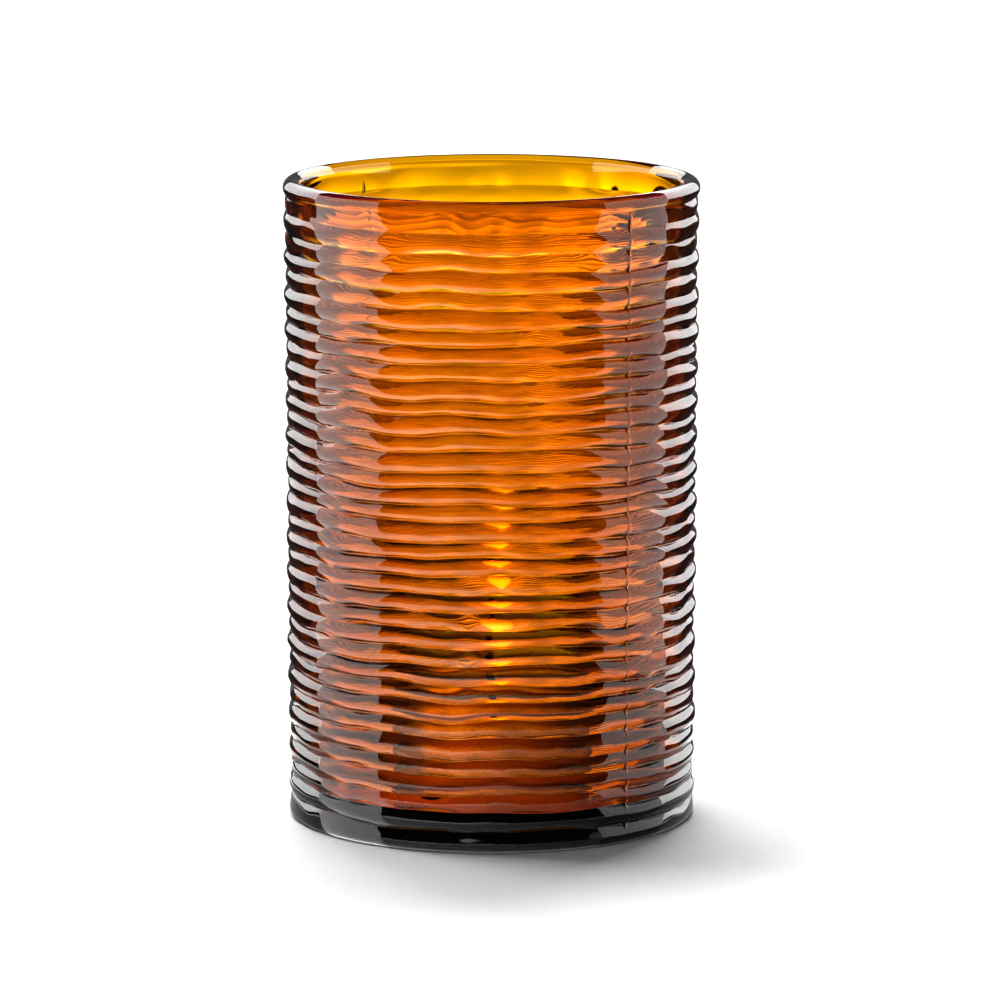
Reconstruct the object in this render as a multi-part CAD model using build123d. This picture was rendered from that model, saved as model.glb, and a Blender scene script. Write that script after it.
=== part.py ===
"""Amber glass candle vase with a tealight standing on its floor.

The vase is one mould-blown piece of thick glass: a plain foot, a stack of rings that
imitate a wound glass thread, a fire-polished lip, a smooth inside and a heavy floor.
The tealight is four pieces: a pressed aluminium cup, the wax, a steel wick tab and
the wick. It is loose, so it lifts straight out through the mouth.

Units are millimetres. The origin is the centre of the underside, and +Z is up.
"""

import math
import os

from build123d import *

# Vase, outside
vase_height = 120.65
rim_radius = 39.0  # widest point of the lip
base_crest_radius = 38.45  # what the ring crests taper to at the table
lip_thickness = 3.5
lip_valley_angle = -48.0  # degrees below level, where the lip's round meets the top ring
ring_count = 34
wide_ring_share = 1.09  # a wide ring's height over the mean ring height
ring_depth = 1.0  # crest to valley of a wide ring
narrow_ring_setback = 0.33  # how far a narrow ring's crest lies inside its neighbours
top_ring_depth_share = 0.45  # the ring under the lip is this much shallower
fading_rings = 4  # rings over which the depth grows to full size

# Vase, foot and inside
foot_height = 4.0
foot_radius = 38.2
heel_radius = 1.2
contact_inner_radius = 31.0  # the foot stands on the ring outside this
dish_depth = 1.0  # hollow under the base, inside the contact ring
floor_height = 6.0
inner_floor_radius = 34.8
inner_corner_radius = 3.5

# Tealight
cup_base_radius = 18.6
cup_rim_radius = 18.9
cup_height = 19.5
cup_sheet = 0.25
cup_corner_radius = 1.6
cup_bead_radius = 0.4
wax_fill = 17.0  # height of the wax above the underside of the cup
tab_radius = 6.5
tab_sheet = 0.3
tab_neck_radius = 1.3
tab_neck_height = 3.0
wick_radius = 0.9
wick_bare_height = 5.5  # straight stretch above the wax
wick_bend_radius = 6.0
wick_bend_angle = 30.0  # degrees that the burnt tip leans over


def crest_radius(z):
    """Crest radius of a wide ring at height z: the vase is slightly narrower at its base."""
    return base_crest_radius + (rim_radius - base_crest_radius) * z / vase_height


def on_circle(centre, radius, degrees):
    """Point of a circle in the outline's plane, at an angle above level."""
    angle = math.radians(degrees)
    return (centre[0] + radius * math.cos(angle), centre[1] + radius * math.sin(angle))


def ring_edges(top_valley):
    """Heights of the valleys between the rings, from the foot up to the lip's valley."""
    shares = [wide_ring_share if i % 2 == 0 else 2 - wide_ring_share for i in range(ring_count)]
    unit = (top_valley - foot_height) / sum(shares)
    heights = [foot_height]
    for share in shares:
        heights.append(heights[-1] + share * unit)
    return heights


def depth_share(ring):
    """How deep a ring is cut: full size, but shallower in the last few under the lip."""
    from_top = ring_count - ring
    growth = min(1.0, from_top / fading_rings)
    return top_ring_depth_share + (1 - top_ring_depth_share) * growth


def vase_glass():
    """The glass: its half outline on the XZ plane, turned about Z."""
    lip_round = lip_thickness / 2
    lip_centre = (rim_radius - lip_round, vase_height - lip_round)
    lip_valley = on_circle(lip_centre, lip_round, lip_valley_angle)
    lip_top = on_circle(lip_centre, lip_round, 90)
    lip_inside = on_circle(lip_centre, lip_round, 180)
    heel_centre = (foot_radius - heel_radius, heel_radius)
    edges = ring_edges(lip_valley[1])
    with BuildPart() as vase:
        with BuildSketch(Plane.XZ):
            with BuildLine():
                ThreePointArc(
                    (0, dish_depth),
                    (contact_inner_radius / 2, 0.75 * dish_depth),
                    (contact_inner_radius, 0),
                )
                Line((contact_inner_radius, 0), (heel_centre[0], 0))
                ThreePointArc(
                    on_circle(heel_centre, heel_radius, -90),
                    on_circle(heel_centre, heel_radius, -45),
                    on_circle(heel_centre, heel_radius, 0),
                )
                start = (crest_radius(foot_height) - ring_depth, foot_height)
                Spline(
                    (foot_radius, heel_radius),
                    start,
                    tangents=((0, 1), (-1, 0.6)),
                )
                for ring in range(ring_count):
                    low, high = edges[ring], edges[ring + 1]
                    middle = (low + high) / 2
                    setback = 0 if ring % 2 == 0 else narrow_ring_setback
                    crest = (crest_radius(middle) - setback, middle)
                    if ring == ring_count - 1:
                        end = lip_valley
                    else:
                        end = (crest_radius(high) - ring_depth * depth_share(ring + 1), high)
                    ThreePointArc(start, crest, end)
                    start = end
                ThreePointArc(lip_valley, lip_top, lip_inside)
                FilletPolyline(
                    lip_inside,
                    (inner_floor_radius, floor_height),
                    (0, floor_height),
                    radius=inner_corner_radius,
                )
                Line((0, floor_height), (0, dish_depth))
            make_face()
        revolve(axis=Axis.Z)
    return vase.part


def filled_cup(inset, top):
    """Solid that fills the tealight's cup, inset from its outer skin, up to a height above it."""
    slope = (cup_rim_radius - cup_base_radius) / cup_height
    top_radius = cup_base_radius + slope * top - inset
    with BuildPart() as filled:
        with BuildSketch(Plane.XZ):
            with BuildLine():
                FilletPolyline(
                    (0, floor_height + inset),
                    (cup_base_radius - inset, floor_height + inset),
                    (top_radius, floor_height + top),
                    radius=cup_corner_radius - inset,
                )
                Line((top_radius, floor_height + top), (0, floor_height + top))
                Line((0, floor_height + top), (0, floor_height + inset))
            make_face()
        revolve(axis=Axis.Z)
    return filled.part


def candle_cup():
    """Pressed aluminium cup with a rolled bead round its rim."""
    shell = filled_cup(0, cup_height) - filled_cup(cup_sheet, cup_height)
    bead_height = floor_height + cup_height
    bead = Pos(0, 0, bead_height) * Torus(cup_rim_radius, cup_bead_radius)
    return shell + bead


def wick_tab():
    """Round steel tab on the cup's floor, with the neck that is crimped on the wick."""
    bottom = floor_height + cup_sheet
    low = (Align.CENTER, Align.CENTER, Align.MIN)
    disc = Pos(0, 0, bottom) * Cylinder(tab_radius, tab_sheet, align=low)
    neck = Pos(0, 0, bottom) * Cylinder(tab_neck_radius, tab_neck_height, align=low)
    hole = Pos(0, 0, bottom + tab_sheet) * Cylinder(wick_radius, tab_neck_height, align=low)
    return disc + neck - hole


def wick():
    """Round cotton wick: upright through the wax, with its bare tip leaning to one side."""
    bottom = floor_height + cup_sheet + tab_sheet
    straight_top = floor_height + wax_fill + wick_bare_height
    upright = Line((0, 0, bottom), (0, 0, straight_top))
    lean = math.radians(wick_bend_angle)
    tip = (wick_bend_radius * (1 - math.cos(lean)), 0, straight_top + wick_bend_radius * math.sin(lean))
    bend = TangentArc((0, 0, straight_top), tip, tangent=(0, 0, 1))
    section = Plane(origin=(0, 0, bottom), z_dir=(0, 0, 1)) * Circle(wick_radius)
    return sweep(section, path=upright + bend)


def candle_wax(tab, core):
    """The wax, poured round the tab and the wick."""
    return filled_cup(cup_sheet, wax_fill) - tab - core


tab = wick_tab()
core = wick()
nodes = {
    "vase_glass": vase_glass(),
    "candle_cup": candle_cup(),
    "candle_wax": candle_wax(tab, core),
    "wick_tab": tab,
    "wick": core,
}

os.makedirs("parts", exist_ok=True)
for name, shape in nodes.items():
    shape.label = name
    export_step(shape, f"parts/{name}.step")
    print(f"{name}: {len(shape.solids())} solid, {shape.volume:.1f} mm3")
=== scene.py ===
import math

import bpy
import numpy as np
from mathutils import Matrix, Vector


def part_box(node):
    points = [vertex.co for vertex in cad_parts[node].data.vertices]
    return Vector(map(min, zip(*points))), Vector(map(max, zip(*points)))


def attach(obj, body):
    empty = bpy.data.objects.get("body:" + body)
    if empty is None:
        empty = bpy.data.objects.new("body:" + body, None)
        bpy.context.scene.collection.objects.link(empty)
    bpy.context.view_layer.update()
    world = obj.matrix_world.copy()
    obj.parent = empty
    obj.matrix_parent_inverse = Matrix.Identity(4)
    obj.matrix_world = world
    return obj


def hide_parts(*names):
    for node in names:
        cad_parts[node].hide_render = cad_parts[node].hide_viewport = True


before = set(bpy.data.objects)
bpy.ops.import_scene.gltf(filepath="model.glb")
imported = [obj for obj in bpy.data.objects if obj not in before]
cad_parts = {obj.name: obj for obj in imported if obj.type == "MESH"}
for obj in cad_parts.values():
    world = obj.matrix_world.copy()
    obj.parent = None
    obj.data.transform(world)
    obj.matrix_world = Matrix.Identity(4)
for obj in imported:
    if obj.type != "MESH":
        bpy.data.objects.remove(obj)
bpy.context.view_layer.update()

MM = 0.001

# Where the CAD pieces are
GLASS_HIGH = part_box("vase_glass")[1]
CUP_LOW, CUP_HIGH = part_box("candle_cup")
WAX_LOW, WAX_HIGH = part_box("candle_wax")
WICK_LOW, WICK_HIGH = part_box("wick")
HEIGHT = GLASS_HIGH.z
RIM_RADIUS = GLASS_HIGH.x
FLOOR_HEIGHT = CUP_LOW.z

# Glass: its outline, as in the CAD model
BASE_CREST_RADIUS = 38.45 * MM  # what the ring crests taper to at the table
LIP_ROUND = 1.75 * MM  # radius of the lip's round, half the lip's thickness
LIP_VALLEY_ANGLE = math.radians(-48)  # where the lip's round meets the top ring, from level
RING_COUNT = 34
WIDE_RING_SHARE = 1.09  # a wide ring's height over the mean ring height
RING_DEPTH = 1.0 * MM  # crest to valley of a wide ring
NARROW_RING_SETBACK = 0.33 * MM  # how far a narrow ring's crest lies inside its neighbours
TOP_RING_DEPTH_SHARE = 0.45  # how deep the ring under the lip is cut
FADING_RINGS = 4  # rings over which the depth grows to full size
FOOT_HEIGHT = 4.0 * MM
FOOT_RADIUS = 38.2 * MM
HEEL_RADIUS = 1.2 * MM
CONTACT_INNER_RADIUS = 31.0 * MM  # the foot stands on the ring outside this
DISH_DEPTH = 1.0 * MM  # hollow of the underside
INNER_FLOOR_RADIUS = 34.8 * MM
INNER_CORNER_RADIUS = 3.5 * MM

# Glass: what is in this visual model only
LIP_FRONT_VALLEY_ANGLE = math.radians(-20)  # the lip melts into the top ring, front and back
LIP_VALLEY_WAVE = math.radians(9)  # how much that angle wanders
TOP_RING_BACK_SHARE = 0.20  # the top rings are flattest at the back
EXTRA_FADING_AT_BACK = 9  # rings more than FADING_RINGS, for the same reason
CALM_RINGS = 3  # rings under the lip over which the valleys' wander dies away
RING_WAVE = 0.30 * MM  # how far the valleys wander up and down
RING_RIPPLE = 0.05 * MM  # the same in short waves
CREST_WAVE = 0.05 * MM  # how much the crests swell and shrink
DEPTH_WAVE = 0.15  # how much the valleys deepen and fill, as a share of their depth
DEPTH_WAVE_LIMITS = -0.8, 0.6
LEAST_BULGE = 0.12 * MM  # no ring is flatter than this
RIM_CLEARANCE = 0.02 * MM  # the crests stay this far inside the lip's radius
RING_HEIGHT_SPREAD = 0.11  # how much ring heights differ, as a share
INNER_WAVE = 0.07 * MM  # unevenness of the inside
FOOT_HOLLOW = 0.12 * MM  # how far the foot's side sinks in above the heel
WAVE_FALL = -0.6  # a wave's size goes with its order to this power
LONG_WAVES = range(1, 15)  # how many times a wave goes round the vase
SHORT_WAVES = range(6, 33)
NEIGHBOUR_LIKENESS = 0.7  # 1 would give every ring the same wave
SEAM_ANGLE = math.radians(41)  # turn from the front to the seam; the other one is opposite
SEAM_WIDTH = 0.20 * MM
SEAM_HEIGHT = 0.006 * MM
SEAM_FILL = 0.3  # how much of a valley the seam fills

# Tealight: its outline, as in the CAD model
CUP_BASE_RADIUS = 18.6 * MM
CUP_SHEET = 0.25 * MM
CUP_CORNER_RADIUS = 1.6 * MM
CUP_BEAD_RADIUS = 0.4 * MM
WICK_BEND_RADIUS = 6.0 * MM
WICK_LEAN = math.radians(30)

# Tealight: what is in this visual model only
CUP_FLUTES = 80  # faint upright folds round the cup's wall
CUP_FLUTE_DEPTH = 0.03 * MM
STRAND_COUNT = 3
STRAND_RADIUS = 0.44 * MM
STRAND_OFFSET = 0.42 * MM  # from the wick's middle to a strand's middle
STRAND_PITCH = 4.2 * MM  # height of one full twist
MELT_RADIUS = 12.9 * MM  # the pool of melted wax; solid from a millimetre further out
FLAME_LEAN = 1.7 * MM  # how far off the axis the flame's tip stands, on the side the wick leans to

# Studio: where the upright soft boxes mirror in the wall, as turns from the front, and how bright
CAMERA_RISE = math.radians(9.65)
BOX_INNER = math.radians(32.8)
BOX_OUTER = math.radians(57.2)
EDGE_START = math.radians(83)
LEFT_BOX_MIRRORED = 2.4
RIGHT_BOX_MIRRORED = 1.7

# Mesh
COLUMNS = 300  # round the glass, besides the extra ones at the seams
ROWS_PER_RING = 7

rng = np.random.default_rng(31)


# ---------------------------------------------------------------- mesh helpers


def make_mesh(name, vertices, faces, smooth=True):
    """A mesh object from numpy points and face tuples."""
    mesh = bpy.data.meshes.new(name)
    mesh.from_pydata([tuple(v) for v in vertices], [], faces)
    mesh.validate()
    mesh.update()
    if smooth:
        mesh.shade_smooth()
    piece = bpy.data.objects.new(name, mesh)
    bpy.context.scene.collection.objects.link(piece)
    return piece


def closed_lathe(name, angles, radii, heights):
    """A closed turned body. radii and heights are rows by columns; the first and the last
    row each end in a point on the axis."""
    rows, columns = radii.shape
    x = radii * np.sin(angles)
    y = -radii * np.cos(angles)
    grid = np.stack([x, y, heights], axis=-1).reshape(-1, 3)
    first_pole = [0, 0, heights[0].mean()]
    last_pole = [0, 0, heights[-1].mean()]
    vertices = np.vstack([grid, first_pole, last_pole])
    faces = []
    for row in range(rows - 1):
        for column in range(columns):
            after = (column + 1) % columns
            low, high = row * columns, (row + 1) * columns
            faces.append((low + column, low + after, high + after, high + column))
    first, last = len(grid), len(grid) + 1
    top = (rows - 1) * columns
    for column in range(columns):
        after = (column + 1) % columns
        faces.append((first, after, column))
        faces.append((last, top + column, top + after))
    return make_mesh(name, vertices, faces)


def true_normals(angles, radii, heights):
    """Normals of a closed lathe's points, exact to second order where rows are unevenly spaced."""
    grid = np.stack([radii * np.sin(angles), -radii * np.cos(angles), heights], axis=-1)
    first_pole = np.broadcast_to([0, 0, heights[0].mean()], grid[:1].shape)
    last_pole = np.broadcast_to([0, 0, heights[-1].mean()], grid[:1].shape)

    def slope(before, here, after):
        back = np.linalg.norm(here - before, axis=-1, keepdims=True)
        ahead = np.linalg.norm(after - here, axis=-1, keepdims=True)
        return (after - here) * back / ahead + (here - before) * ahead / back

    column = np.concatenate([first_pole, grid, last_pole])
    along = slope(column[:-2], column[1:-1], column[2:])
    around = slope(np.roll(grid, 1, axis=1), grid, np.roll(grid, -1, axis=1))
    normals = np.cross(around, along)
    normals /= np.linalg.norm(normals, axis=-1, keepdims=True)
    return np.vstack([normals.reshape(-1, 3), [0, 0, -1], [0, 0, 1]])


def arc(centre, radius, start, end, count):
    """Points of an arc in an outline, (radius from the axis, height), angles above level."""
    turns = np.linspace(start, end, count)
    return [(centre[0] + radius * np.cos(a), centre[1] + radius * np.sin(a)) for a in turns]


def full_turn(count):
    """Evenly spaced angles round the axis."""
    return np.linspace(0, 2 * math.pi, count, endpoint=False)


def turned(outline, angles):
    """The same outline at every angle, as the radii and heights of a lathe."""
    points = np.array(outline)
    radii = np.repeat(points[:, :1], len(angles), axis=1)
    heights = np.repeat(points[:, 1:], len(angles), axis=1)
    return radii, heights


# ---------------------------------------------------------------- glass


def column_angles():
    """Angles round the vase from -Y towards +X, evenly spaced, with extra columns at both seams."""
    angles = list(full_turn(COLUMNS))
    offsets = np.array([-1.0, -0.6, -0.35, -0.15, 0.0, 0.15, 0.35, 0.6, 1.0]) * MM
    reach = 1.3 * MM / RIM_RADIUS
    for seam in (SEAM_ANGLE, SEAM_ANGLE + math.pi):
        angles = [a for a in angles if abs(a - seam) > reach]
        angles += list(seam + offsets / RIM_RADIUS)
    return np.array(sorted(angles))


def seam_profile(angles):
    """1 on a mould seam, falling to 0 beside it."""
    total = np.zeros_like(angles)
    for seam in (SEAM_ANGLE, SEAM_ANGLE + math.pi):
        total += np.exp(-(((angles - seam) * RIM_RADIUS / SEAM_WIDTH) ** 2))
    return total


def wandering_waves(angles, lines, size, counts=LONG_WAVES):
    """One smooth closed wave for each line. A line's wave is much like its neighbour's."""
    orders = np.array(counts)
    strength = orders**WAVE_FALL
    strength *= size / np.sqrt(np.sum(strength**2))
    table = np.zeros((lines, len(angles)))
    cosines = rng.normal(size=len(orders))
    sines = rng.normal(size=len(orders))
    fresh = math.sqrt(1 - NEIGHBOUR_LIKENESS**2)
    for line in range(lines):
        for order, s, c, d in zip(orders, strength, cosines, sines):
            table[line] += s * (c * np.cos(order * angles) + d * np.sin(order * angles))
        cosines = NEIGHBOUR_LIKENESS * cosines + fresh * rng.normal(size=len(orders))
        sines = NEIGHBOUR_LIKENESS * sines + fresh * rng.normal(size=len(orders))
    return table


def crest_radius(height):
    """Crest radius of a wide ring: the vase is slightly narrower at its base."""
    return BASE_CREST_RADIUS + (RIM_RADIUS - BASE_CREST_RADIUS) * height / HEIGHT


def ring_valleys(angles, lip_valley):
    """Radii and heights of the valleys between the rings, from the foot up to the lip."""
    shares = np.where(np.arange(RING_COUNT) % 2 == 0, WIDE_RING_SHARE, 2 - WIDE_RING_SHARE)
    shares *= 1 + RING_HEIGHT_SPREAD * rng.uniform(-1, 1, RING_COUNT)
    shares /= shares.sum()
    stack_height = lip_valley[1].min() - FOOT_HEIGHT
    levels = FOOT_HEIGHT + stack_height * np.concatenate([[0], np.cumsum(shares)])
    from_top = RING_COUNT - np.arange(RING_COUNT + 1)
    calm = np.minimum(1, from_top / CALM_RINGS)
    wander = wandering_waves(angles, RING_COUNT + 1, RING_WAVE)
    wander += wandering_waves(angles, RING_COUNT + 1, RING_RIPPLE, SHORT_WAVES)
    heights = levels[:, None] + wander * calm[:, None]
    towards_back = np.maximum(0, -np.cos(angles)) ** 2
    top_share = TOP_RING_DEPTH_SHARE + (TOP_RING_BACK_SHARE - TOP_RING_DEPTH_SHARE) * towards_back
    fading = FADING_RINGS + EXTRA_FADING_AT_BACK * towards_back
    growth = np.minimum(1, from_top[:, None] / fading)
    share = top_share + (1 - top_share) * growth
    depth = RING_DEPTH * share * (1 - SEAM_FILL * seam_profile(angles))
    uneven = wandering_waves(angles, RING_COUNT + 1, DEPTH_WAVE, SHORT_WAVES) * (2 - share)
    depth *= 1 + np.clip(uneven, *DEPTH_WAVE_LIMITS)
    radii = crest_radius(heights) - depth
    radii[-1], heights[-1] = lip_valley
    return radii, heights


def ring_rows(angles, lip_valley):
    """Rows of the ring stack. Each ring is a round arc from valley to crest to valley."""
    valley_radii, valley_heights = ring_valleys(angles, lip_valley)
    swell = wandering_waves(angles, RING_COUNT, CREST_WAVE)
    steps = 0.5 - 0.5 * np.cos(np.pi * np.arange(ROWS_PER_RING) / ROWS_PER_RING)
    radii, heights = [], []
    for ring in range(RING_COUNT):
        low, high = valley_heights[ring], valley_heights[ring + 1]
        setback = NARROW_RING_SETBACK if ring % 2 else 0
        crest = crest_radius((low + high) / 2) - setback + swell[ring] - CREST_WAVE
        crest = np.minimum(crest + SEAM_HEIGHT * seam_profile(angles), RIM_RADIUS - RIM_CLEARANCE)
        chord = high - low
        middle = (valley_radii[ring] + valley_radii[ring + 1]) / 2
        rise = np.maximum(crest - middle, LEAST_BULGE)
        bend = (chord**2 / 4 + rise**2) / (2 * rise)
        for step in steps:
            level = low + chord * step
            base = valley_radii[ring] + (valley_radii[ring + 1] - valley_radii[ring]) * step
            bulge = np.sqrt(bend**2 - (chord * (step - 0.5)) ** 2) - (bend - rise)
            radii.append(base + bulge)
            heights.append(level)
    radii.append(valley_radii[-1])
    heights.append(valley_heights[-1])
    return radii, heights


def make_glass():
    """The whole glass as one closed surface: underside, foot, rings, lip, inside and floor."""
    angles = column_angles()
    lip_centre = (RIM_RADIUS - LIP_ROUND, HEIGHT - LIP_ROUND)
    lip_start = LIP_VALLEY_ANGLE + (LIP_FRONT_VALLEY_ANGLE - LIP_VALLEY_ANGLE) * np.cos(angles) ** 2
    lip_start += wandering_waves(angles, 1, LIP_VALLEY_WAVE)[0]
    lip_valley = arc(lip_centre, LIP_ROUND, lip_start, lip_start, 1)[0]
    radii, heights = [], []

    def plain_rows(points):
        for radius, height in points:
            radii.append(np.full(len(angles), radius))
            heights.append(np.full(len(angles), height))

    dish = [CONTACT_INNER_RADIUS * share for share in (0.15, 0.4, 0.65, 0.85, 0.95, 1.0)]
    plain_rows([(r, DISH_DEPTH * (1 - (r / CONTACT_INNER_RADIUS) ** 2)) for r in dish])
    plain_rows([(CONTACT_INNER_RADIUS + 0.3 * MM, 0)])
    heel_centre = (FOOT_RADIUS - HEEL_RADIUS, HEEL_RADIUS)
    plain_rows(arc(heel_centre, HEEL_RADIUS, -math.pi / 2, 0, 7))
    ring_radii, ring_heights = ring_rows(angles, lip_valley)
    for share in (0.25, 0.5, 0.72, 0.88, 0.96):
        level = HEEL_RADIUS + (ring_heights[0] - HEEL_RADIUS) * share
        fall = (FOOT_RADIUS - ring_radii[0]) * share**4
        radii.append(FOOT_RADIUS - fall - FOOT_HOLLOW * math.sin(math.pi * share) ** 2)
        heights.append(level)
    radii += ring_radii
    heights += ring_heights
    plain_rows(arc(lip_centre, LIP_ROUND, lip_start, math.pi, 15)[1:])
    corner_height = FLOOR_HEIGHT + INNER_CORNER_RADIUS
    mouth_radius = RIM_RADIUS - 2 * LIP_ROUND
    wall_steps = np.linspace(0, 1, 24)[1:]
    wall_wave = wandering_waves(angles, len(wall_steps), INNER_WAVE)
    for step, wave in zip(wall_steps, wall_wave):
        level = lip_centre[1] + (corner_height - lip_centre[1]) * step
        radius = mouth_radius + (INNER_FLOOR_RADIUS - mouth_radius) * step
        radii.append(radius + wave * min(1, 4 * step))
        heights.append(np.full(len(angles), level))
    corner = (INNER_FLOOR_RADIUS - INNER_CORNER_RADIUS, corner_height)
    plain_rows(arc(corner, INNER_CORNER_RADIUS, 0, -math.pi / 2, 8)[1:])
    plain_rows([(corner[0] * share, FLOOR_HEIGHT) for share in (0.8, 0.55, 0.3, 0.1)])
    radii, heights = np.array(radii), np.array(heights)
    glass = closed_lathe("amber_glass", angles, radii, heights)
    glass.data.normals_split_custom_set_from_vertices(true_normals(angles, radii, heights))
    glass.data.materials.append(glass_material())
    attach(glass, "vase")
    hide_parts("vase_glass")


# ---------------------------------------------------------------- candle


def strand_tube(centres, radius, sides):
    """Points and faces of one capped strand that follows centres."""
    centres = np.asarray(centres)
    along = np.gradient(centres, axis=0)
    along /= np.linalg.norm(along, axis=1)[:, None]
    side = np.cross(along, [0, 1, 0])
    side /= np.linalg.norm(side, axis=1)[:, None]
    other = np.cross(along, side)
    turns = full_turn(sides)
    rings = []
    for centre, s, o in zip(centres, side, other):
        rings.append(centre + radius * (np.outer(np.cos(turns), s) + np.outer(np.sin(turns), o)))
    vertices = np.vstack(rings)
    faces = []
    for ring in range(len(centres) - 1):
        low, high = ring * sides, (ring + 1) * sides
        for i in range(sides):
            j = (i + 1) % sides
            faces.append((low + i, low + j, high + j, high + i))
    faces.append(tuple(range(sides))[::-1])
    faces.append(tuple((len(centres) - 1) * sides + i for i in range(sides)))
    return vertices, faces


def make_wick():
    """Three twisted cotton strands that lean over at the burnt tip."""
    bend_height = WICK_BEND_RADIUS * math.sin(WICK_LEAN)
    tip_room = 0.45 * MM  # for the strands' own thickness, under the CAD wick's top
    straight = WICK_HIGH.z - bend_height - tip_room - WICK_LOW.z
    total = straight + WICK_BEND_RADIUS * WICK_LEAN
    sideways = np.array([0, 1.0, 0])
    # past 0.8 of its length the twist closes in, by 0.45 at the tip
    taper_from, taper_by = 0.8, 0.45
    vertices, faces = [], []
    for strand in range(STRAND_COUNT):
        centres = []
        for step in np.linspace(0, 1, 90):
            travelled = total * step
            over = max(0.0, travelled - straight) / WICK_BEND_RADIUS
            spine_x = WICK_BEND_RADIUS * (1 - math.cos(over))
            spine_z = WICK_LOW.z + min(travelled, straight) + WICK_BEND_RADIUS * math.sin(over)
            turn = 2 * math.pi * (travelled / STRAND_PITCH + strand / STRAND_COUNT)
            taper = 1 - taper_by * max(0.0, step - taper_from) / (1 - taper_from)
            out = np.array([math.cos(over), 0, -math.sin(over)])
            offset = STRAND_OFFSET * taper * (math.cos(turn) * out + math.sin(turn) * sideways)
            centres.append(np.array([spine_x, 0, spine_z]) + offset)
        points, skin = strand_tube(centres, STRAND_RADIUS, 10)
        start = sum(len(v) for v in vertices)
        vertices.append(points)
        faces += [tuple(start + i for i in face) for face in skin]
    wick = make_mesh("wick_cotton", np.vstack(vertices), faces)
    wick.data.materials.append(wick_material())
    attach(wick, "candle")
    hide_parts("wick")


def make_cup():
    """The pressed cup: thin tapered wall with faint draw flutes, round corner and rolled bead."""
    angles = full_turn(160)
    base, corner = CUP_BASE_RADIUS, CUP_CORNER_RADIUS
    rim = CUP_HIGH.x - CUP_BEAD_RADIUS
    low, inner_low = CUP_LOW.z, CUP_LOW.z + CUP_SHEET
    bead_height = CUP_HIGH.z - CUP_BEAD_RADIUS
    corner_centre = (base - corner, low + corner)
    wall_height = bead_height - low - corner
    outer = [(0.3 * base, low), (0.6 * base, low)]
    outer += arc(corner_centre, corner, -math.pi / 2, 0, 8)
    outer += [(base + (rim - base) * s, low + corner + wall_height * s) for s in (0.3, 0.6, 0.85)]
    outer += arc((rim, bead_height), CUP_BEAD_RADIUS, -2.2, math.pi, 14)
    wall = slice(9, 13)  # the end of the corner and the points above it
    inner = [(r - CUP_SHEET, z) for r, z in outer[wall]][::-1]
    inner += arc(corner_centre, corner - CUP_SHEET, 0, -math.pi / 2, 7)
    inner += [(0.6 * base, inner_low), (0.3 * base, inner_low)]
    radii, heights = turned(outer + inner, angles)
    folds = np.abs(np.sin(CUP_FLUTES / 2 * angles)) * (radii > 0.9 * base)
    cup = closed_lathe("tealight_cup", angles, radii - CUP_FLUTE_DEPTH * folds, heights)
    cup.data.materials.append(aluminium_material())
    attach(cup, "candle")
    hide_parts("candle_cup")


def make_wax():
    """The wax: a solid rim that climbs the cup, and a still pool of melt round the wick."""
    angles = full_turn(128)
    low, top, radius = WAX_LOW.z, WAX_HIGH.z, WAX_HIGH.x
    corner = CUP_CORNER_RADIUS - CUP_SHEET
    slope_run = 0.2 * MM  # the wax is this much narrower at its foot, like the cup
    outline = [(0.5 * radius, low)]
    outline += arc((radius - slope_run - corner, low + corner), corner, -math.pi / 2, 0, 6)
    # the top from the cup inwards: how far in from the wall, how far below the top, in mm
    rim = ((0, 0.05), (0.5, 0.25), (1.6, 0.5), (3.4, 0.6), (4.6, 0.75), (5.6, 1.0))
    outline += [(radius - inwards * MM, top - below * MM) for inwards, below in rim]
    outline += [(share * radius, top - 1.05 * MM) for share in (0.6, 0.45, 0.3, 0.18, 0.1)]
    # and where the melt climbs the wick: how far out, how far below the top, in mm
    climb = ((1.2, 0.9), (0.95, 0.6), (0.5, 0.6))
    outline += [(out * MM, top - below * MM) for out, below in climb]
    radii, heights = turned(outline, angles)
    edge = wandering_waves(angles, 1, 0.5 * MM)[0]
    pool_radius, pool_soft = radius - 4.6 * MM, 1.6 * MM
    shore = np.exp(-(((radii - pool_radius) / pool_soft) ** 2)) * (heights > top - 2 * MM)
    wax = closed_lathe("tealight_wax", angles, radii + edge * shore, heights)
    wax.data.materials.append(wax_material())
    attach(wax, "candle")
    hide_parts("candle_wax")


def make_flame():
    """The flame: a slim teardrop over the wick's tip, in a soft wide glow."""
    angles = full_turn(48)
    steps = np.linspace(0.012, 0.995, 44)
    # a round bottom that swells quickly and a long concave taper to the tip
    swell = np.sin(np.pi * steps**0.62) ** 1.1 * (1 - 0.12 * steps)
    swell /= swell.max()
    for name, overlap, tall, radius, strength in (
        ("flame", 3.5 * MM, 20 * MM, 3.1 * MM, 1.2),
        ("flame_glow", 4 * MM, 25 * MM, 6.5 * MM, 0.2),
    ):
        bottom = WICK_HIGH.z - overlap
        outline = np.stack([radius * swell, bottom + tall * steps], axis=1)
        flame = closed_lathe(name, angles, *turned(outline, angles))
        for vertex in flame.data.vertices:
            share = max(0.0, min(1.0, (vertex.co.z - bottom) / tall))
            vertex.co.x += FLAME_LEAN * (0.35 + 0.65 * math.sin(1.4 * share))
        flame.data.materials.append(flame_material(name, bottom, tall, strength))
        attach(flame, "candle")


# ---------------------------------------------------------------- materials


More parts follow.
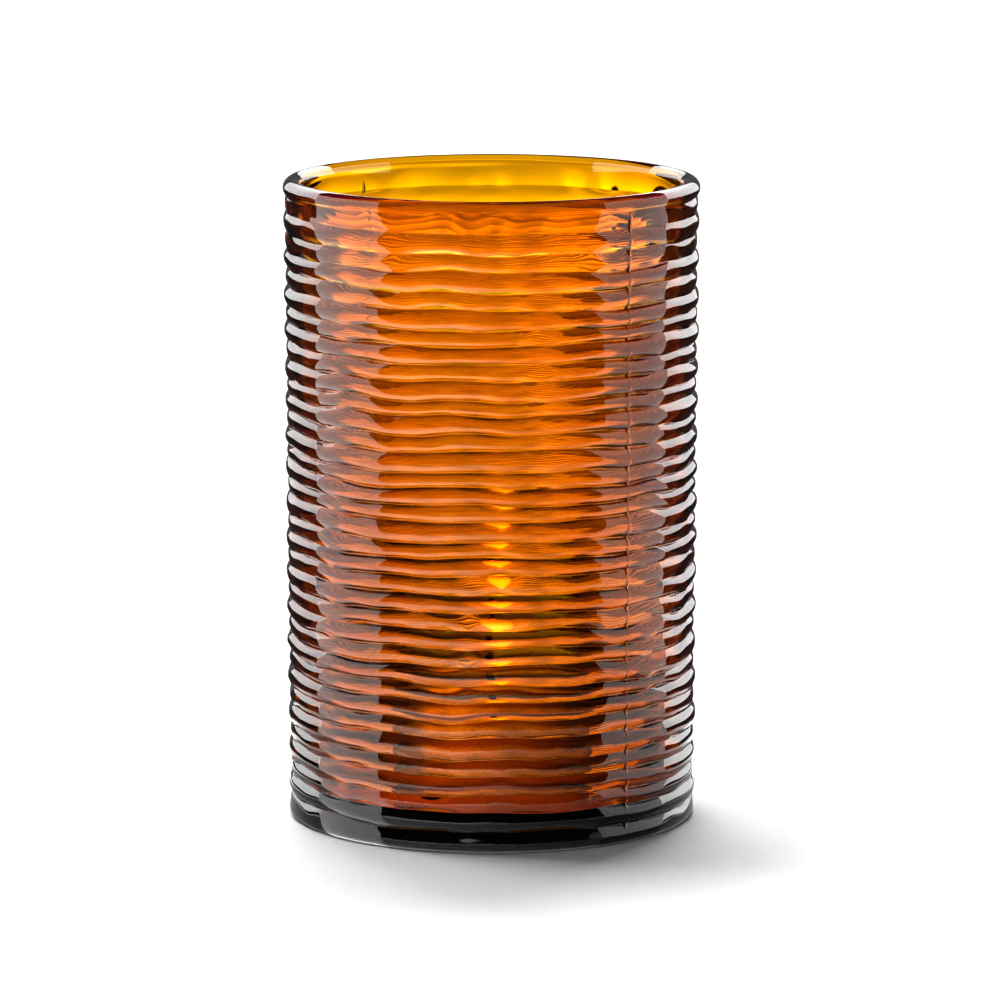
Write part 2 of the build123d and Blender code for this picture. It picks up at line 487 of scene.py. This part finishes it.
class Graph:
    """Short ways to add and join the nodes of one shader tree."""

    def __init__(self, tree):
        self.tree = tree
        tree.nodes.clear()

    def add(self, kind, **sockets):
        """A node. A socket's name has _ for each space."""
        node = self.tree.nodes.new("ShaderNode" + kind)
        for name, value in sockets.items():
            self.put(value, node.inputs[name.replace("_", " ")])
        return node

    def put(self, value, socket):
        """A number or a colour on a socket, or a link into it."""
        if isinstance(value, bpy.types.NodeSocket):
            self.tree.links.new(value, socket)
        else:
            socket.default_value = value

    def math(self, operation, *values):
        node = self.tree.nodes.new("ShaderNodeMath")
        node.operation = operation
        for value, socket in zip(values, node.inputs):
            self.put(value, socket)
        return node.outputs[0]

    def product(self, first, *others):
        for other in others:
            first = self.math("MULTIPLY", first, other)
        return first

    def total(self, first, *others):
        for other in others:
            first = self.math("ADD", first, other)
        return first

    def length(self, x, y):
        return self.math("SQRT", self.total(self.product(x, x), self.product(y, y)))

    def smooth(self, value, start, end, low=0.0, high=1.0):
        """low up to start, high from end, with a smooth step between. end may be below start."""
        node = self.tree.nodes.new("ShaderNodeMapRange")
        node.interpolation_type = "SMOOTHSTEP"
        if end < start:
            start, end, low, high = end, start, high, low
        limits = {"From Min": start, "From Max": end, "To Min": low, "To Max": high}
        for name, number in limits.items():
            node.inputs[name].default_value = number
        self.put(value, node.inputs["Value"])
        return node.outputs["Result"]

    def window(self, value, low, high, soft):
        """1 between low and high, fading to 0 over soft outside."""
        rise = self.smooth(value, low - soft, low)
        fall = self.smooth(value, high + soft, high)
        return self.product(rise, fall)

    def mix(self, factor, first, second):
        """A mix of two colours."""
        node = self.tree.nodes.new("ShaderNodeMix")
        node.data_type = "RGBA"
        self.put(factor, node.inputs["Factor"])
        self.put(first, [s for s in node.inputs if s.name == "A" and s.type == "RGBA"][0])
        self.put(second, [s for s in node.inputs if s.name == "B" and s.type == "RGBA"][0])
        return [s for s in node.outputs if s.type == "RGBA"][0]

    def blend(self, factor, first, second):
        """A mix of two shaders."""
        node = self.add("MixShader")
        for value, socket in zip((factor, first, second), node.inputs):
            self.put(value, socket)
        return node.outputs[0]

    def noise(self, scale, detail, vector=None):
        node = self.add("TexNoise", Scale=scale, Detail=detail)
        self.put(vector or self.place(), node.inputs["Vector"])
        return node.outputs["Fac"]

    def place(self):
        return self.add("TexCoord").outputs["Object"]

    def stretched(self, tall):
        """The place with its height counted this many times: above 1, patterns lie flatter."""
        return self.add("Mapping", Vector=self.place(), Scale=(1, 1, tall)).outputs[0]

    def bump(self, height, distance):
        return self.add("Bump", Height=height, Distance=distance).outputs["Normal"]

    def output(self, kind="OutputMaterial", **sockets):
        self.add(kind, **sockets)


def new_material(name):
    made = bpy.data.materials.new(name)
    made.use_nodes = True
    return made, Graph(made.node_tree)


def glass_material():
    """Clear amber glass, coloured by how far light travels in it."""
    made, g = new_material("amber_glass")
    folds = g.noise(38.0, 1.0, g.stretched(5))
    streaks = g.noise(30.0, 1.0, g.stretched(12))
    height = g.total(folds, g.product(streaks, 0.25))
    above_foot = g.smooth(g.add("SeparateXYZ", Vector=g.place()).outputs["Z"], 4 * MM, 8 * MM)
    shader = g.add(
        "BsdfPrincipled",
        Base_Color=(1, 1, 1, 1),
        Roughness=0.0,
        IOR=1.51,
        Transmission_Weight=1.0,
        Normal=g.bump(g.product(height, above_foot), 0.05 * MM),
    )
    # for each metre of glass it absorbs 83 of red, 286 of green and 2000 of blue
    absorb = g.add("VolumeAbsorption", Color=(0.9585, 0.857, 0.0, 1), Density=2000.0)
    g.output(Surface=shader.outputs[0], Volume=absorb.outputs[0])
    return made


def aluminium_material():
    """Thin bright aluminium with faint upright drawing marks and small dents."""
    made, g = new_material("cup_aluminium")
    marks = g.noise(2600.0, 3.0, g.stretched(0.06))
    dents = g.noise(180.0, 2.0)
    shader = g.add(
        "BsdfPrincipled",
        Metallic=1.0,
        Base_Color=g.mix(marks, (0.80, 0.81, 0.83, 1), (0.92, 0.92, 0.93, 1)),
        Roughness=g.smooth(dents, 0.3, 0.7, 0.22, 0.30),
        Normal=g.bump(g.total(g.product(marks, 0.15), dents), 0.03 * MM),
    )
    g.output(Surface=shader.outputs[0])
    return made


def steel_material():
    """Tinned steel, stamped, with small scuffs."""
    made, g = new_material("tab_steel")
    scuffs = g.noise(1800.0, 4.0)
    shader = g.add(
        "BsdfPrincipled",
        Metallic=1.0,
        Base_Color=g.mix(scuffs, (0.46, 0.46, 0.47, 1), (0.66, 0.66, 0.67, 1)),
        Roughness=g.smooth(scuffs, 0.3, 0.7, 0.25, 0.45),
        Normal=g.bump(scuffs, 0.03 * MM),
    )
    g.output(Surface=shader.outputs[0])
    return made


def wax_material():
    """Paraffin: waxy and matt where it is solid, clear and glossy where it has melted."""
    made, g = new_material("candle_wax")
    parts = g.add("SeparateXYZ", Vector=g.place())
    away = g.length(parts.outputs["X"], parts.outputs["Y"])
    wander = g.product(g.math("SUBTRACT", g.noise(260.0, 2.0), 0.5), 1.5 * MM)
    melt = g.smooth(g.total(away, wander), MELT_RADIUS + MM, MELT_RADIUS)
    grain = g.product(g.noise(1500.0, 4.0), g.math("SUBTRACT", 1.0, melt))
    shader = g.add(
        "BsdfPrincipled",
        IOR=1.44,
        Base_Color=g.mix(melt, (0.93, 0.91, 0.85, 1), (0.84, 0.80, 0.70, 1)),
        Roughness=g.total(g.product(melt, -0.38), 0.42),
        Subsurface_Weight=0.7,
        Subsurface_Radius=(1.0, 0.75, 0.5),
        Subsurface_Scale=4 * MM,
        Normal=g.bump(grain, 0.12 * MM),
    )
    g.output(Surface=shader.outputs[0])
    return made


def wick_material():
    """Cotton below, charred above, with a glowing tip."""
    made, g = new_material("wick_cotton")
    height = g.add("SeparateXYZ", Vector=g.place()).outputs["Z"]
    ragged = g.product(g.math("SUBTRACT", g.noise(1400.0, 3.0), 0.5), 1.6 * MM)
    height = g.total(height, ragged)
    char = g.smooth(height, WAX_HIGH.z - 0.5 * MM, WAX_HIGH.z + 1.2 * MM)
    ember = g.smooth(height, WICK_HIGH.z - 0.9 * MM, WICK_HIGH.z - 0.1 * MM)
    shader = g.add(
        "BsdfPrincipled",
        Roughness=0.9,
        Base_Color=g.mix(char, (0.80, 0.73, 0.58, 1), (0.012, 0.010, 0.009, 1)),
        Emission_Color=(1.0, 0.22, 0.03, 1),
        Emission_Strength=g.product(ember, 5.0),
        Normal=g.bump(g.noise(6000.0, 2.0), 0.1 * MM),
    )
    g.output(Surface=shader.outputs[0])
    return made


def flame_material(name, bottom, tall, power):
    """Light only: dim at the foot, amber in the middle, redder at the tip, soft at its edges."""
    made, g = new_material(name)
    height = g.add("SeparateXYZ", Vector=g.place()).outputs["Z"]
    share = g.math("DIVIDE", g.math("SUBTRACT", height, bottom), tall)
    body = g.smooth(share, 0.15, 0.5)
    tip = g.smooth(share, 0.75, 1.0)
    colour = g.mix(body, (0.9, 0.25, 0.12, 1), (1.0, 0.40, 0.10, 1))
    colour = g.mix(tip, colour, (1.0, 0.30, 0.05, 1))
    strength = g.product(g.total(g.product(body, 0.9), 0.1), power)
    light = g.add("AddShader")
    g.put(g.add("BsdfTransparent").outputs[0], light.inputs[0])
    g.put(g.add("Emission", Color=colour, Strength=strength).outputs[0], light.inputs[1])
    facing = g.add("LayerWeight", Blend=0.5).outputs["Facing"]
    solid = g.product(g.smooth(facing, 1.0, 0.0), g.smooth(share, 0.0, 0.25, 0.2, 1.0))
    faded = g.blend(solid, g.add("BsdfTransparent").outputs[0], light.outputs[0])
    g.output(Surface=faded)
    return made


def floor_material():
    """Plain pale paper with the faintest tooth. In the glass it shows as the studio's table:
    it glows by where it lies and by the turn of the wall that mirrors it to the front."""
    made, g = new_material("pale_floor")
    tone = g.noise(14.0, 3.0)
    paper = g.add(
        "BsdfPrincipled",
        Roughness=0.9,
        Specular_IOR_Level=0.1,
        Base_Color=g.mix(tone, (0.86, 0.86, 0.86, 1), (0.88, 0.88, 0.88, 1)),
        Normal=g.bump(g.noise(3000.0, 2.0), 0.05 * MM),
    )
    parts = g.add("SeparateXYZ", Vector=g.place())
    x, y = parts.outputs["X"], parts.outputs["Y"]
    away = g.length(x, y)
    aside = g.math("ABSOLUTE", x)

    def beyond(turn):
        """1 where the floor mirrors in the wall further round than turn from the front."""
        start_x, start_y = RIM_RADIUS * math.sin(turn), -RIM_RADIUS * math.cos(turn)
        along_x, along_y = math.sin(2 * turn), -math.cos(2 * turn)
        first = g.product(g.math("SUBTRACT", y, start_y), along_x)
        second = g.product(g.math("SUBTRACT", aside, start_x), along_y)
        return g.smooth(g.math("SUBTRACT", first, second), -0.3 * MM, 0.3 * MM)

    inner, outer = beyond(BOX_INNER), beyond(BOX_OUTER)
    # in front of the vase: brighter to the left, dim at the foot and again further off
    front = g.product(
        g.smooth(x, -40 * MM, 40 * MM, 2.4, 0.7),
        g.smooth(away, 50 * MM, 75 * MM, 0.45, 1.0),
        g.smooth(away, 100 * MM, 200 * MM, 1.0, 0.06),
    )
    # where the soft boxes' strips come down the wall: dim near the foot on the right
    foot_share = g.smooth(x, -MM, MM, 1.0, 0.14)
    box_light = g.product(
        g.smooth(x, -MM, MM, LEFT_BOX_MIRRORED, RIGHT_BOX_MIRRORED),
        g.math("MAXIMUM", foot_share, g.smooth(away, 52 * MM, 80 * MM)),
    )
    # beside the vase: a brighter ring round it
    side_light = g.total(g.window(away, 66 * MM, 82 * MM, 10 * MM), 0.4)
    mirrored = g.total(
        g.product(front, g.math("SUBTRACT", 1.0, inner)),
        g.product(g.math("SUBTRACT", inner, outer), box_light),
        g.product(outer, side_light),
    )
    # through the glass: dark under the vase, lit further off and in front
    behind = g.smooth(away, 60 * MM, 130 * MM, 0.01, 0.75)
    through = g.total(behind, g.product(front, g.smooth(y, -30 * MM, 0, 0.8, 0.0)))
    path = g.add("LightPath")
    glow = g.total(
        g.product(path.outputs["Is Transmission Ray"], through),
        g.product(path.outputs["Is Reflection Ray"], mirrored),
        g.product(path.outputs["Is Diffuse Ray"], 0.4),
    )
    # further off beside the vase, mirror rays pass on into the studio
    far_beside = g.product(outer, g.smooth(away, 80 * MM, 105 * MM))
    passing = g.product(far_beside, path.outputs["Is Reflection Ray"])
    glowing = g.add("Emission", Strength=glow).outputs[0]
    table = g.blend(passing, glowing, g.add("BsdfTransparent").outputs[0])
    g.output(Surface=g.blend(path.outputs["Is Camera Ray"], table, paper.outputs[0]))
    return made


# ---------------------------------------------------------------- studio


def make_floor():
    """A pale table, a hair below the foot so that the two surfaces don't coincide."""
    half = 0.3
    below = -0.05 * MM
    corners = [(-half, -half, below), (half, -half, below), (half, half, below), (-half, half, below)]
    floor = make_mesh("floor", np.array(corners), [(0, 1, 2, 3)], smooth=False)
    floor.data.materials.append(floor_material())


class Sky:
    """The direction of a ray that leaves the scene, for the world's shader."""

    def __init__(self, g):
        self.g = g
        parts = g.add("SeparateXYZ", Vector=g.add("TexCoord").outputs["Generated"])
        self.x, self.y, self.z = (parts.outputs[name] for name in "XYZ")
        # the turn is 0 at the front, where the camera stands, positive to the right, 180 behind
        self.turn = g.math("ARCTAN2", self.x, g.product(self.y, -1.0))
        self.aside = g.math("ABSOLUTE", self.turn)
        self.up = g.math("ARCSINE", self.z)

    def patch(self, around, turns, rises, strength, soft=1.0):
        """A soft-edged lit rectangle. Its turns and rises, and soft, are in degrees."""
        low_turn, high_turn, soft = (math.radians(angle) for angle in (*turns, soft))
        low_up, high_up, soft_up = (math.radians(angle) for angle in (*rises, 3))
        sides = self.g.window(around, low_turn, high_turn, soft)
        ends = self.g.window(self.up, low_up, high_up, soft_up)
        return self.g.product(sides, ends, strength)


def light_through_glass(sky):
    """A narrow bright backdrop between dark gaps, dim sides, and a dim table and ceiling."""
    g, deg = sky.g, math.radians
    backdrop = g.product(
        g.total(
            sky.patch(sky.turn, (175.2, 181), (-24, 26), 1.0, 0.5),
            sky.patch(sky.turn, (-181, -172.8), (-24, 26), 1.0, 0.5),
        ),
        g.smooth(sky.up, deg(-14), deg(4), 0.60, 1.42),  # dimmer towards the table
        g.smooth(sky.up, deg(18), deg(6), 0.4, 1.0),  # and high up
        g.smooth(sky.aside, deg(179.7), deg(178), 1.0, 1.25),  # a little dimmer in its middle
        g.smooth(sky.x, 0.01, 0.04, 1.0, 1.2),  # a little brighter on the right
    )
    return g.total(
        backdrop,
        sky.patch(sky.aside, (-1, 136), (-14, 30), 0.36, 4.0),
        sky.patch(sky.turn, (140, 172), (-14, 30), 0.07, 3.0),
        sky.patch(sky.turn, (-173, -140), (-14, 30), 0.08, 3.0),
        sky.patch(sky.aside, (-1, 181), (-91, -22), 0.45),
        sky.patch(sky.aside, (-1, 181), (36, 91), 0.02),
    )


def light_mirrored_in_glass(sky):
    """Two upright soft boxes at the front and tall boxes at the sides. Each is placed by the
    wall that mirrors it to the front: the wall's turn from the front, and its tilt."""
    g, deg = sky.g, math.radians
    # the wall's normal lies halfway between the ray and the way to the camera
    forward = g.math("SUBTRACT", math.cos(CAMERA_RISE), sky.y)
    wall = g.math("ARCTAN2", g.math("ABSOLUTE", sky.x), forward)
    tilt = g.math("ARCTAN2", g.total(sky.z, math.sin(CAMERA_RISE)), g.length(sky.x, forward))
    left_or_right = sky.x, -0.01, 0.01
    # the right box ends low down, the left one doesn't
    low_end = g.math("MAXIMUM", g.smooth(tilt, deg(-32), deg(-24)), g.smooth(sky.x, 0.01, -0.01))
    front_boxes = g.product(
        g.window(wall, BOX_INNER, BOX_OUTER, deg(0.3)),
        g.smooth(tilt, deg(44), deg(36)),
        g.smooth(*left_or_right, LEFT_BOX_MIRRORED, RIGHT_BOX_MIRRORED),
        low_end,
    )
    # the side boxes reach lower towards the silhouette, and on the right
    raised = g.math("SUBTRACT", sky.up, g.smooth(wall, BOX_OUTER, EDGE_START, deg(4), deg(-2)))
    raised = g.total(raised, g.smooth(*left_or_right, 0.0, deg(1.4)))
    side_boxes = g.product(
        g.window(wall, BOX_OUTER, EDGE_START, deg(0.4)),
        g.window(raised, 0, deg(50), deg(2)),
        g.smooth(wall, BOX_OUTER, EDGE_START, 3.8, 1.5),
        g.smooth(*left_or_right, 1.0, 1.1),
    )
    edge = g.product(g.smooth(wall, EDGE_START, EDGE_START + deg(1)), 0.10)
    dim_room = sky.patch(sky.aside, (-1, 181), (-91, 60), 0.06)
    return g.total(front_boxes, side_boxes, edge, dim_room)


def light_on_matt_surfaces(sky):
    """Two high lamps, at the left and behind, which give the shadow to the right and to the
    front, and a soft fill all round."""
    return sky.g.total(
        sky.patch(sky.turn, (-140, -100), (56, 76), 11.0),
        sky.patch(sky.aside, (150, 181), (50, 72), 11.0),
        sky.patch(sky.aside, (-1, 181), (-5, 70), 0.24),
    )


def make_world():
    """A white studio. Each kind of ray sees its own part of it, by direction in the world."""
    world = bpy.data.worlds.new("studio")
    bpy.context.scene.world = world
    world.use_nodes = True
    g = Graph(world.node_tree)
    sky = Sky(g)
    path = g.add("LightPath")
    mirror_ray = g.product(path.outputs["Is Reflection Ray"], path.outputs["Is Glossy Ray"])
    strength = g.total(
        path.outputs["Is Camera Ray"],
        g.product(path.outputs["Is Transmission Ray"], light_through_glass(sky)),
        g.product(path.outputs["Is Diffuse Ray"], light_on_matt_surfaces(sky)),
        g.product(mirror_ray, light_mirrored_in_glass(sky)),
    )
    background = g.add("Background", Color=(1, 1, 1, 1), Strength=strength)
    g.output("OutputWorld", Surface=background.outputs[0])


def make_camera():
    """A long lens from the front, 9.65 degrees above level, 1.24 m from the vase's middle."""
    distance = 1.24
    middle = Vector((0, 0, HEIGHT / 2))
    camera = bpy.data.objects.new("camera", bpy.data.cameras.new("camera"))
    camera.data.sensor_width = 36
    camera.data.lens = 237.3
    camera.data.shift_x = 0.0085
    camera.data.shift_y = -0.0041
    back = Vector((0, -math.cos(CAMERA_RISE), math.sin(CAMERA_RISE)))
    camera.location = middle + back * distance
    camera.rotation_euler = back.to_track_quat("Z", "Y").to_euler()
    bpy.context.scene.collection.objects.link(camera)
    bpy.context.scene.camera = camera


def set_render():
    """Plain colours with more contrast, and enough bounces for light to cross both walls."""
    scene = bpy.context.scene
    scene.view_settings.view_transform = "Standard"
    scene.view_settings.look = "High Contrast"
    scene.cycles.caustics_reflective = False
    scene.cycles.caustics_refractive = False
    scene.cycles.max_bounces = 28
    scene.cycles.transmission_bounces = 28
    scene.cycles.glossy_bounces = 12
    scene.cycles.diffuse_bounces = 4
    scene.cycles.transparent_max_bounces = 16
    scene.cycles.use_denoising = True
    scene.cycles.sample_clamp_indirect = 8.0


make_glass()
make_cup()
make_wax()
make_wick()
make_flame()
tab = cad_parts["wick_tab"]
tab.data.materials.clear()
tab.data.materials.append(steel_material())
make_floor()
make_world()
make_camera()
set_render()
